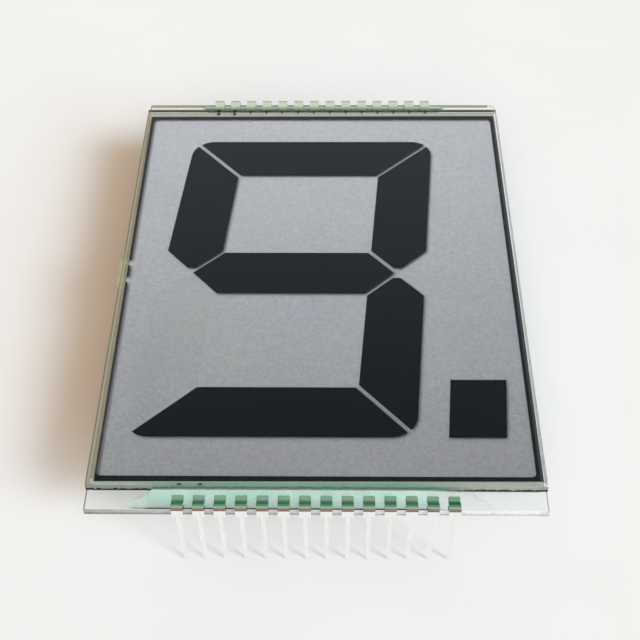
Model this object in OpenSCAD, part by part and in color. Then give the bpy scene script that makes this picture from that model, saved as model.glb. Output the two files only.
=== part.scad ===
// One-digit segment LCD panel: two glass plates with a sealed liquid crystal cell between
// them, polarizer films outside, and a row of clip-on pins glued along the two ledges.
// Millimetres. Z is up, the viewing face looks up, the near ledge is at -Y. The tips of the
// pins stand on z = 0 and the glass is centred on x = y = 0.

/* [Glass] */
// Width of both glass plates
glass_width = 55.5; // [55:0.1:60]
// Length of the rear plate, ledges included
rear_length = 76.2; // [75:0.1:82]
// Depth of the ledge left bare at each end of the rear plate
ledge = 2.65; // [2.4:0.05:3.1]
// Thickness of each glass plate
glass_t = 1.1; // [0.7:0.05:1.5]
// Space between the plates, drawn wider than the real few thousandths
cell_gap = 0.1; // [0.08:0.01:0.2]

/* [Films] */
// Thickness of the front polarizer film
polarizer_t = 0.2; // [0.1:0.02:0.4]
// Bare glass beside the front polarizer, left and right together
polarizer_side = 1.4; // [0.8:0.1:3]
// Bare glass in front of the front polarizer
polarizer_front = 0.5; // [0.3:0.1:2]
// Bare glass behind the front polarizer
polarizer_back = 1.9; // [0.3:0.1:2.5]
// How far the film was laid off centre, to the right
polarizer_shift = 0.2; // [-0.3:0.05:0.3]
// How far the film was laid askew, in degrees
polarizer_turn = 0.2; // [0:0.05:0.4]
// Thickness of the rear polarizer film
rear_film_t = 0.2; // [0.1:0.02:0.4]
// Thickness of the reflector foil under it
reflector_t = 0.1; // [0.05:0.01:0.2]
// Front plate edge to the edge of the two rear films, all round
rear_film_inset = 0.6; // [0.2:0.1:1]

/* [Cell] */
// Front plate edge to seal, all round
seal_inset = 0.35; // [0.2:0.05:0.5]
// Width of the seal along the left side
seal_left = 0.65; // [0.4:0.05:1.2]
// Width of the seal along the right side
seal_right = 0.8; // [0.4:0.05:1.2]
// Width of the seal along the near end
seal_near = 1.4; // [1:0.05:1.8]
// Width of the seal along the far end
seal_far = 1.55; // [1:0.05:1.8]
// Inside corner radius of the seal
seal_corner = 0.6; // [0.5:0.1:2]
// Drawn thickness of the electrode films
film_t = 0.02; // [0.01:0.005:0.03]
// Fill port in the left side of the seal
port_width = 4.2; // [3:0.1:6]
// Length of the seal island that stands in the port
port_island = 2.2; // [0.8:0.1:2.4]
// Centre of the port along the left side
port_y = 0.4; // [-10:0.1:10]
// Length of the glue plug over the port
plug_length = 7; // [6.6:0.1:9]
// How far the plug stands out from the glass
plug_bulge = 0.65; // [0.2:0.05:0.9]

/* [Digit] */
// Clear space below the digit, up to the seal
digit_near = 5.8; // [3:0.1:10]
// Clear space above the digit, up to the seal
digit_far = 5.45; // [3:0.05:10]
// Clear space at the left of the digit, up to the seal
digit_left = 2.4; // [1:0.05:5]
// Clear space at the right of the decimal point, up to the seal
digit_right = 2.25; // [1:0.05:5]
// Width of the strokes
stroke = 7.8; // [5:0.1:8.5]
// Slant of the digit in degrees
slant = 4.75; // [0:0.25:6]
// Clear line between neighbouring segments
segment_gap = 0.55; // [0.3:0.05:0.9]
// Radius of the rounded outer corners of the digit
corner_radius = 3.2; // [1.5:0.1:4]
// How far the side segments stop from the middle line
tip_cut = 0.92; // [0.8:0.02:1.2]
// Width of the decimal point
point_width = 7.2; // [4:0.1:8]
// Height of the decimal point
point_height = 9.1; // [4:0.1:10]
// Clear space between digit and decimal point
point_space = 3.95; // [2.5:0.05:5]

/* [Pins] */
// Pin spacing
pin_pitch = 2.54; // [2.2:0.02:2.6]
// Thickness of the pin sheet
pin_t = 0.25; // [0.2:0.01:0.3]
// Width of the clip
clip_width = 1.43; // [1.3:0.01:1.6]
// Width of the leg under the clip
leg_width = 0.5; // [0.4:0.02:0.56]
// Length of the leg under the glass
pin_drop = 9.8; // [6:0.1:14]
// Space between the clip and the edge of the glass
clip_clear = 0.1; // [0.06:0.01:0.15]
// Width of the slits between the leg and the lower jaws
jaw_slit = 0.1; // [0.06:0.01:0.14]
// Reach of the lower jaws under the glass
jaw_reach = 1.2; // [0.8:0.05:1.8]
// Corner radius of the end of the upper spring tongue
tongue_corner = 0.22; // [0.1:0.02:0.5]

/* [Glue] */
// Height of the bead against the front plate
bead_wall = 0.85; // [0.75:0.05:1]
// Height of the bead over the contacts
bead_top = 0.64; // [0.6:0.02:0.7]

/* [Hidden] */
$fn = 64;
pins_per_row = 14;
e = 0.01;

// levels, from the pin tips up
z_rear = pin_drop;
z_ledge = z_rear + glass_t;
z_front = z_ledge + cell_gap;
z_front_top = z_front + glass_t;
z_film = z_rear - rear_film_t;

// plan sizes
front_length = rear_length - 2 * ledge;
seal_out = [glass_width, front_length] - 2 * [seal_inset, seal_inset];
seal_in = seal_out - [seal_left + seal_right, seal_near + seal_far];
cell_at = [(seal_left - seal_right) / 2, (seal_near - seal_far) / 2];
cell_left = cell_at[0] - seal_in[0] / 2;
polarizer_size = [glass_width - polarizer_side, front_length - polarizer_front - polarizer_back];
polarizer_at = [polarizer_shift, (polarizer_front - polarizer_back) / 2];
rear_film_size = [glass_width, front_length] - 2 * [rear_film_inset, rear_film_inset];

// the digit fills the cell between its margins, with the decimal point at its right
digit_height = seal_in[1] - digit_near - digit_far;
digit_y = cell_at[1] + (digit_near - digit_far) / 2;
group_from = cell_left + digit_left;
group_width = seal_in[0] - digit_left - digit_right;
digit_width = group_width - point_space - point_width - tan(slant) * point_height;
digit_x = group_from + digit_width / 2 + tan(slant) * digit_height / 2;

// half sizes of the digit, and the mitre gap along an axis
hw = digit_width / 2;
hh = digit_height / 2;
mitre = segment_gap / sqrt(2);
mitre_angle = asin(segment_gap / 2 / corner_radius);

// clip profile: u runs inward from the edge of the glass, v up from the ledge
plate_u = -clip_clear - pin_t / 2;
plate_v = -0.6;
bend_r = 0.4;
bend_v = 0.3;
dip_r = 0.45;
down = 36;
flare = 25;
flare_length = 0.42;
contact_from = 0.2;
bend_c = [plate_u + bend_r, bend_v];
bend_end = bend_c + bend_r * [sin(down), cos(down)];
dip_v = film_t + pin_t / 2 - e + dip_r;
dip_start_v = dip_v - dip_r * cos(down);
dip_c = [bend_end[0] + (bend_end[1] - dip_start_v) / tan(down) + dip_r * sin(down), dip_v];
flare_start = dip_c + dip_r * [sin(flare), -cos(flare)];
tongue_tip = flare_start + flare_length * [cos(flare), sin(flare)];
jaw_r = clip_clear + pin_t / 2;
jaw_width = (clip_width - leg_width) / 2 - jaw_slit;
jaw_v = -glass_t - pin_t / 2;
tip_taper = 0.9;
tip_half = 0.3 * leg_width;

// contact tracks: pad under the clip, then a narrow lead through the seal
pad_width = 1.2;
pad_from = 0.3;
pad_to = 2.2;
lead_width = 0.2;
lead_end = 0.8;
lead_to = ledge + seal_inset + max(seal_near, seal_far) + lead_end;

// transfer dots between the plates, over the first two leads of each row
dot_r = 0.3;
dot_u = ledge + 0.5;

// share of each plate's thickness that the plug covers
plug_cover = 0.9;

// glue beads: outer edge on the ledge, and radius of the hollow against the front plate
bead_edge = 0.08;
hollow_r = 0.45;
// how far each bead runs past the outer pins, [left, right]
front_over = [2.1, 0.9];
rear_over = [1.1, 1.3];
// round lobes at the bead ends: [distance out, place across as a share of the ledge, radius, height]
front_left = [[0.5, 0.6, 1.6, 0.56], [2.6, 0.4, 1.9, 0.42]];
front_right = [[0.5, 0.6, 1.6, 0.55], [2.4, 0.46, 1.8, 0.36]];
rear_left = [[0.6, 0.55, 1.7, 0.5]];
rear_right = [[0.7, 0.52, 1.7, 0.5]];

// points on an arc from angle a to angle b
function arc(c, r, a, b, n = 5) =
  [for (i = [0:n]) c + r * [cos(a + (b - a) * i / n), sin(a + (b - a) * i / n)]];

// arc as path stations [u, v, heading]; turn is 1 to the left and -1 to the right
function bend(c, r, a, b, turn, n) =
  [for (i = [0:n])
    let (t = a + (b - a) * i / n)
    [c[0] + r * cos(t), c[1] + r * sin(t), t + 90 * turn]];

// a strip of thickness t along path stations
function strip(path, t) = concat(
  [for (p = path) [p[0] - sin(p[2]) * t / 2, p[1] + cos(p[2]) * t / 2]],
  [for (i = [len(path) - 1:-1:0]) [path[i][0] + sin(path[i][2]) * t / 2,
                                   path[i][1] - cos(path[i][2]) * t / 2]]
);

function pin_x(i) = (i - (pins_per_row + 1) / 2) * pin_pitch;
function flip_x(points) = [for (p = points) [-p[0], p[1]]];
function flip_y(points) = [for (p = points) [p[0], -p[1]]];
function slanted(points) = [for (p = points) [p[0] + tan(slant) * p[1] + digit_x, p[1] + digit_y]];

// upright outlines of the top, upper left and middle segments; the others mirror them
bar_top = concat(
  [[-hw + stroke + mitre, hh - stroke]],
  arc([-hw + corner_radius, hh - corner_radius], corner_radius, 135 - mitre_angle, 90),
  arc([hw - corner_radius, hh - corner_radius], corner_radius, 90, 45 + mitre_angle),
  [[hw - stroke - mitre, hh - stroke]]
);
bar_upper_left = concat(
  [[-hw + stroke, hh - stroke - mitre], [-hw + stroke, stroke / 2 + mitre],
   [-hw + stroke / 2 - mitre + tip_cut, tip_cut], [-hw + stroke / 2 + mitre - tip_cut, tip_cut],
   [-hw, stroke / 2 + mitre]],
  arc([-hw + corner_radius, hh - corner_radius], corner_radius, 180, 135 + mitre_angle)
);
bar_middle = [[-hw + stroke / 2 + mitre, 0], [-hw + stroke + mitre, stroke / 2],
              [hw - stroke - mitre, stroke / 2], [hw - stroke / 2 - mitre, 0],
              [hw - stroke - mitre, -stroke / 2], [-hw + stroke + mitre, -stroke / 2]];
point_from = [hw + point_space, -hh];
point_to = point_from + [point_width, point_height];
point_box = [point_from, [point_to[0], point_from[1]], point_to, [point_from[0], point_to[1]]];

module plate(size, z, t) {
  translate([-size[0] / 2, -size[1] / 2, z])
    cube([size[0], size[1], t]);
}

module film(points) {
  color([0.12, 0.13, 0.14])
    translate([0, 0, z_ledge])
      linear_extrude(film_t)
        polygon(slanted(points));
}

module segment_a() { film(bar_top); }
module segment_b() { film(flip_x(bar_upper_left)); }
module segment_c() { film(flip_x(flip_y(bar_upper_left))); }
module segment_d() { film(flip_y(bar_top)); }
module segment_e() { film(flip_y(bar_upper_left)); }
module segment_f() { film(bar_upper_left); }
module segment_g() { film(bar_middle); }
module decimal_point() { film(point_box); }

module all_segments() {
  segment_a();
  segment_b();
  segment_c();
  segment_d();
  segment_e();
  segment_f();
  segment_g();
  decimal_point();
}

module front_polarizer() {
  color([0.55, 0.57, 0.58, 0.4])
    translate(polarizer_at)
      rotate(polarizer_turn)
        plate(polarizer_size, z_front_top, polarizer_t);
}

module front_glass() {
  color([0.75, 0.82, 0.78, 0.3])
    plate([glass_width, front_length], z_front, glass_t);
}

module rear_glass() {
  color([0.75, 0.82, 0.78, 0.3])
    plate([glass_width, rear_length], z_rear, glass_t);
}

module rear_polarizer() {
  color([0.62, 0.63, 0.6])
    plate(rear_film_size, z_film, rear_film_t);
}

module reflector() {
  color([0.7, 0.71, 0.72])
    plate(rear_film_size, z_film - reflector_t, reflector_t);
}

// inside outline of the seal
module cell_outline() {
  translate(cell_at) {
    square([seal_in[0] - 2 * seal_corner, seal_in[1]], center = true);
    square([seal_in[0], seal_in[1] - 2 * seal_corner], center = true);
    for (x = [-1, 1])
      for (y = [-1, 1])
        translate([x * (seal_in[0] / 2 - seal_corner), y * (seal_in[1] / 2 - seal_corner)])
          circle(seal_corner);
  }
}

module common_electrode() {
  color([0.7, 0.72, 0.7, 0.3])
    translate([0, 0, z_front - film_t])
      linear_extrude(film_t)
        cell_outline();
}

module liquid_crystal() {
  color([0.8, 0.82, 0.82, 0.3])
    difference() {
      union() {
        translate([0, 0, z_ledge])
          linear_extrude(cell_gap - film_t)
            cell_outline();
        port_mouths(-seal_out[0] / 2, cell_left + e, z_ledge, z_front - film_t);
      }
      all_segments();
      track_row(1);
      track_row(-1);
    }
}

// the two open mouths of the fill port, either side of the island
module port_mouths(x_from, x_to, z_from, z_to) {
  mouth = (port_width - port_island) / 2;
  for (s = [-1, 1])
    translate([x_from, port_y + s * (port_island + mouth) / 2 - mouth / 2, z_from])
      cube([x_to - x_from, mouth, z_to - z_from]);
}

module perimeter_seal() {
  color([0.16, 0.17, 0.18])
    difference() {
      plate(seal_out, z_ledge, cell_gap);
      translate([0, 0, z_ledge - e])
        linear_extrude(cell_gap + 2 * e)
          cell_outline();
      port_mouths(-glass_width / 2, cell_left + e, z_ledge - e, z_front + e);
      track_row(1);
      track_row(-1);
      for (i = [1:4])
        dot_disc(i);
    }
}

// pillow of glue on the glass edges, with two tongues reaching into the port
module fill_port_plug() {
  round_plan = (pow(plug_length / 2, 2) + pow(plug_bulge, 2)) / (2 * plug_bulge);
  half_height = glass_t * plug_cover;
  round_side = (pow(half_height, 2) + pow(plug_bulge, 2)) / (2 * plug_bulge);
  edge = -glass_width / 2;
  z_mid = z_ledge + cell_gap / 2;
  color([0.72, 0.74, 0.48, 0.8])
    union() {
      intersection() {
        translate([edge - plug_bulge + round_plan, port_y, z_mid - glass_t])
          cylinder(h = 2 * glass_t, r = round_plan, $fn = 180);
        translate([edge - plug_bulge + round_side, port_y + plug_length, z_mid])
          rotate([90, 0, 0])
            cylinder(h = 2 * plug_length, r = round_side);
        translate([edge - glass_t, port_y - plug_length, z_mid - glass_t])
          cube([glass_t, 2 * plug_length, 2 * glass_t]);
      }
      port_mouths(edge - e, -seal_out[0] / 2, z_ledge, z_front);
    }
}

// one row of contact tracks on the rear plate; side is 1 for the near row and -1 for the far
module track_row(side) {
  rotate([0, 0, side > 0 ? 0 : 180])
    for (i = [1:pins_per_row]) {
      translate([pin_x(i) - pad_width / 2, -rear_length / 2 + pad_from, z_ledge])
        cube([pad_width, pad_to - pad_from, film_t]);
      translate([pin_x(i) - lead_width / 2, -rear_length / 2 + pad_to - e, z_ledge])
        cube([lead_width, lead_to - pad_to + e, film_t]);
    }
}

module front_tracks() {
  color([0.6, 0.62, 0.55])
    track_row(1);
}

module rear_tracks() {
  color([0.6, 0.62, 0.55])
    track_row(-1);
}

// dots 1 and 2 are on the near row, 3 and 4 on the far row, all over the two left-hand leads
module dot_disc(i) {
  near = i <= 2;
  translate([pin_x(near ? i : i - 2), (near ? -1 : 1) * (rear_length / 2 - dot_u), z_ledge])
    cylinder(h = cell_gap, r = dot_r);
}

module transfer_dot(i) {
  color([0.25, 0.25, 0.24])
    difference() {
      dot_disc(i);
      track_row(i <= 2 ? 1 : -1);
    }
}

// clip and leg, at the middle of the near edge; u is along +Y here
module pin_body() {
  spring = concat(
    [[plate_u, plate_v, 90]],
    bend(bend_c, bend_r, 180, 90 - down, -1, 5),
    bend(dip_c, dip_r, -90 - down, -90 + flare, 1, 2),
    [[tongue_tip[0], tongue_tip[1], flare]]
  );
  jaw = concat(
    [[plate_u, plate_v, -90]],
    bend([0, -glass_t + clip_clear], jaw_r, 180, 270, 1, 2),
    [[jaw_reach, jaw_v, 0]]
  );
  tongue_c = [clip_width / 2 - tongue_corner, tongue_tip[0] - tongue_corner];
  tongue = concat(
    [[-clip_width / 2, -ledge], [clip_width / 2, -ledge]],
    arc(tongue_c, tongue_corner, 0, 90, 2),
    arc([-tongue_c[0], tongue_c[1]], tongue_corner, 90, 180, 2)
  );
  union() {
    difference() {
      intersection() {
        rotate([90, 0, 90])
          linear_extrude(2 * clip_width, center = true)
            polygon(strip(spring, pin_t));
        translate([0, 0, -ledge])
          linear_extrude(2 * ledge)
            polygon(tongue);
      }
      translate([-clip_width, contact_from, film_t - pin_t])
        cube([2 * clip_width, ledge, pin_t]);
    }
    for (s = [-1, 1])
      translate([s * (clip_width - jaw_width) / 2, 0, 0])
        rotate([90, 0, 90])
          linear_extrude(jaw_width, center = true)
            polygon(strip(jaw, pin_t));
    translate([0, -clip_clear, 0])
      rotate([90, 0, 0])
        linear_extrude(pin_t)
          polygon([[-leg_width / 2, plate_v + e], [-leg_width / 2, tip_taper - z_ledge],
                   [-tip_half, -z_ledge], [tip_half, -z_ledge],
                   [leg_width / 2, tip_taper - z_ledge], [leg_width / 2, plate_v + e]]);
  }
}

module front_pin(i) {
  color([0.86, 0.87, 0.87])
    translate([pin_x(i), -rear_length / 2, z_ledge])
      pin_body();
}

module rear_pin(i) {
  color([0.86, 0.87, 0.87])
    translate([pin_x(i), rear_length / 2, z_ledge])
      rotate([0, 0, 180])
        pin_body();
}

// a bead of glue on the near ledge, with round lobes at its left and right ends
module bead(over, left, right) {
  from = pin_x(1) - over[0];
  to = pin_x(pins_per_row) + over[1];
  lobes = concat([for (p = left) [from - p[0], p[1] * ledge, p[2], p[3]]],
                 [for (p = right) [to + p[0], p[1] * ledge, p[2], p[3]]]);
  hollow = acos(1 - (bead_wall - bead_top) / hollow_r);
  outline = concat(
    [[ledge, 0]],
    arc([ledge - hollow_r * sin(hollow), bead_top + hollow_r], hollow_r, hollow - 90, -90, 3),
    arc([bead_edge + bead_top, 0], bead_top, 90, 180, 4)
  );
  translate([0, -rear_length / 2, z_ledge]) {
    translate([from, 0, 0])
      rotate([90, 0, 90])
        linear_extrude(to - from)
          polygon(outline);
    intersection() {
      union()
        for (p = lobes) {
          ball = (p[2] * p[2] + p[3] * p[3]) / (2 * p[3]);
          translate([p[0], p[1], p[3] - ball])
            sphere(ball);
        }
      translate([-glass_width / 2, bead_edge, 0])
        cube([glass_width, ledge - bead_edge, bead_wall]);
    }
  }
}

module front_glue() {
  color([0.66, 0.82, 0.78, 0.7])
    difference() {
      bead(front_over, front_left, front_right);
      for (i = [1:pins_per_row])
        front_pin(i);
      track_row(1);
    }
}

module rear_glue() {
  color([0.66, 0.82, 0.78, 0.7])
    difference() {
      rotate([0, 0, 180])
        bead([rear_over[1], rear_over[0]], rear_right, rear_left);
      for (i = [1:pins_per_row])
        rear_pin(i);
      track_row(-1);
    }
}

front_polarizer();
front_glass();
common_electrode();
liquid_crystal();
perimeter_seal();
segment_a();
segment_b();
segment_c();
segment_d();
segment_e();
segment_f();
segment_g();
decimal_point();
front_tracks();
rear_tracks();
rear_glass();
rear_polarizer();
reflector();
fill_port_plug();
front_glue();
rear_glue();
for (i = [1:4])
  transfer_dot(i);
for (i = [1:pins_per_row])
  front_pin(i);
for (i = [1:pins_per_row])
  rear_pin(i);
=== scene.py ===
import math

import bmesh
import bpy
from mathutils import Matrix, Vector, noise


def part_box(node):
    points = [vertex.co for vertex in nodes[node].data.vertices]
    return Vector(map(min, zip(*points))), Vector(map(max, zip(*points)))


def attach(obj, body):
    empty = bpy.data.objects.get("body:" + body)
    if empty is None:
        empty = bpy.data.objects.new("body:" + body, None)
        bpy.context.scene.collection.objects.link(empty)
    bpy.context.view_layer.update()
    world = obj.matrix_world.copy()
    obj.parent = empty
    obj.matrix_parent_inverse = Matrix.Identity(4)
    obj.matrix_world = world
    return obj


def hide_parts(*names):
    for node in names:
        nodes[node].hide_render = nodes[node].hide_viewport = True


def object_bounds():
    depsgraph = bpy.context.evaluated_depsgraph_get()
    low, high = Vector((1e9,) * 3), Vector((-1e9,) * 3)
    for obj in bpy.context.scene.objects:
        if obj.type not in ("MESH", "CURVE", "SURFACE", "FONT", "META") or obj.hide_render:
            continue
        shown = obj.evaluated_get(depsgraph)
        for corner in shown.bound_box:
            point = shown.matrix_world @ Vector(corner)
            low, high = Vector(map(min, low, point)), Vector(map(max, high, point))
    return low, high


# One-digit segment LCD panel standing on its pins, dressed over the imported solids. Metres.
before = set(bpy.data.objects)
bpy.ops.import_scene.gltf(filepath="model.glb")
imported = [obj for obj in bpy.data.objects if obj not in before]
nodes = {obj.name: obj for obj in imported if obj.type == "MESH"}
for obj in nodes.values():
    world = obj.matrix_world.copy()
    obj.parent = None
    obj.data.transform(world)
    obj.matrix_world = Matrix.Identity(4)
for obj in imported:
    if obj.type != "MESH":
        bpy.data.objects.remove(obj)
cad_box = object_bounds()
MM = 0.001

FRONT_LO, FRONT_HI = [Vector(p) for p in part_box("front_glass")]
REAR_LO, REAR_HI = [Vector(p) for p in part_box("rear_glass")]
FILM_LO, FILM_HI = [Vector(p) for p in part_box("front_polarizer")]
# the front film lies askew by this angle, so its box is a little larger than the film
FILM_TURN = math.radians(0.2)
FILM_MID, FILM_BOX = (FILM_LO + FILM_HI) / 2, (FILM_HI - FILM_LO) / 2
FILM_HALF = FILM_BOX - FILM_TURN * Vector((FILM_BOX.y, FILM_BOX.x, 0))
SEAL_LO, SEAL_HI = [Vector(p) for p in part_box("perimeter_seal")]
BACK_FILM_HI = Vector(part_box("rear_polarizer")[1])
PORT_LO, PORT_HI = [Vector(p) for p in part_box("fill_port_plug")]
PORT_MID, PORT_HALF = (PORT_LO + PORT_HI) / 2, (PORT_HI - PORT_LO) / 2
PINS = 14
PITCH = 2.54 * MM
LEDGE = FRONT_LO[1] - REAR_LO[1]
# the film's outline at the depth of the seal, as light bends it: growth in x and y, shift in y
UNDER_FILM = (0.12 * MM, 0.14 * MM, 0.66 * MM)
# where the near bead stands against the front plate
GLUED = (-19.6 * MM, 18.6 * MM)
# farther out than any part of the panel, for a limit that a plate doesn't have
OUT_OF_REACH = 1.0
# how near to an edge's plane a point counts as on the edge
EDGE_SLACK = 0.1 * MM
FILM_IOR, GLASS_IOR = 1.49, 1.52


# Materials

def linear(code):
    """sRGB hex to linear colour."""
    parts = [int(code[i:i + 2], 16) / 255 for i in (1, 3, 5)]
    return [c / 12.92 if c <= 0.04045 else ((c + 0.055) / 1.055) ** 2.4 for c in parts] + [1]


def add(tree, kind, settings=None, links=None):
    """Adds a node. Settings are its own fields, or stops of a ramp; links are sockets or values by input."""
    made = tree.nodes.new(kind)
    for key, value in (settings or {}).items():
        if key == "stops":
            ramp = made.color_ramp.elements
            while len(ramp) < len(value):
                ramp.new(1)
            for stop, (at, code) in zip(ramp, value):
                stop.position = at
                stop.color = linear(code)
        else:
            setattr(made, key, value)
    for key, value in (links or {}).items():
        if isinstance(value, bpy.types.NodeSocket):
            tree.links.new(value, made.inputs[key])
        else:
            made.inputs[key].default_value = value
    return made


def finish_material(name, build):
    """A material whose surface is the shader that build(tree) returns."""
    made = bpy.data.materials.new(name)
    made.use_nodes = True
    tree = made.node_tree
    tree.nodes.clear()
    add(tree, "ShaderNodeOutputMaterial", {}, {"Surface": build(tree).outputs[0]})
    return made


def per_metre(size_mm):
    """Texture scale for a pattern of that real size."""
    return 1 / (size_mm * MM)


def lets_light_past(tree, shader, colour):
    """A clear shader that throws no black shadow: a lamp's light goes straight through and takes the colour."""
    lamp = add(tree, "ShaderNodeLightPath").outputs["Is Shadow Ray"]
    let = add(tree, "ShaderNodeBsdfTransparent", {}, {"Color": colour})
    return add(tree, "ShaderNodeMixShader", {}, {0: lamp, 1: shader.outputs[0], 2: let.outputs[0]})


def polarizer_sheet(tree):
    # Laminated polarizer film, calendered: clear grey with a faint haze, satin gloss on its upper face only.
    place = add(tree, "ShaderNodeTexCoord").outputs["Object"]
    haze = add(tree, "ShaderNodeTexNoise", {}, {"Vector": place, "Scale": per_metre(0.5), "Detail": 4})
    tint = add(tree, "ShaderNodeValToRGB", {"stops": [(0.3, "#f5f5f5"), (0.7, "#fbfbfb")]}, {0: haze.outputs[0]})
    clear = add(tree, "ShaderNodeBsdfRefraction", {}, {"Color": tint.outputs[0], "Roughness": 0.0, "IOR": FILM_IOR})
    gloss = add(tree, "ShaderNodeBsdfGlossy", {}, {"Roughness": 0.16})
    side = add(tree, "ShaderNodeNewGeometry")
    axes = add(tree, "ShaderNodeSeparateXYZ", {}, {0: side.outputs["True Normal"]})
    upper = add(tree, "ShaderNodeMath", {"operation": "GREATER_THAN"}, {0: axes.outputs["Z"], 1: 0.5})
    outer = add(tree, "ShaderNodeMath", {"operation": "SUBTRACT"}, {0: upper.outputs[0], 1: side.outputs["Backfacing"]})
    edge = add(tree, "ShaderNodeFresnel", {}, {"IOR": FILM_IOR})
    share = add(tree, "ShaderNodeMath", {"operation": "MULTIPLY", "use_clamp": True},
                {0: outer.outputs[0], 1: edge.outputs[0]})
    sheet = add(tree, "ShaderNodeMixShader", {}, {0: share.outputs[0], 1: clear.outputs[0], 2: gloss.outputs[0]})
    near_rim = add(tree, "ShaderNodeMath", {"operation": "LESS_THAN"}, {0: axes.outputs["Y"], 1: -0.5})
    cut = add(tree, "ShaderNodeBsdfDiffuse", {}, {"Color": linear("#979d95")})
    whole = add(tree, "ShaderNodeMixShader", {}, {0: near_rim.outputs[0], 1: sheet.outputs[0], 2: cut.outputs[0]})
    return lets_light_past(tree, whole, tint.outputs[0])


def shade_along_edge(tree, across, ticks, left, right):
    """A colour that runs from the left end of an edge to the right, mottled by its hackle. Its darker left end is
    painted shade.
    """
    run = add(tree, "ShaderNodeMapRange", {}, {0: across, 1: FRONT_LO.x, 2: FRONT_HI.x - 6 * MM})
    plain = add(tree, "ShaderNodeMix", {"data_type": "RGBA"}, {0: run.outputs[0], 6: linear(left), 7: linear(right)})
    hackle = add(tree, "ShaderNodeValToRGB", {"stops": [(0.3, "#e6e6e6"), (0.7, "#ffffff")]}, {0: ticks})
    return add(tree, "ShaderNodeMix", {"data_type": "RGBA", "blend_type": "MULTIPLY"},
               {0: 1.0, 6: plain.outputs[2], 7: hackle.outputs[0]}).outputs[2]


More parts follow.
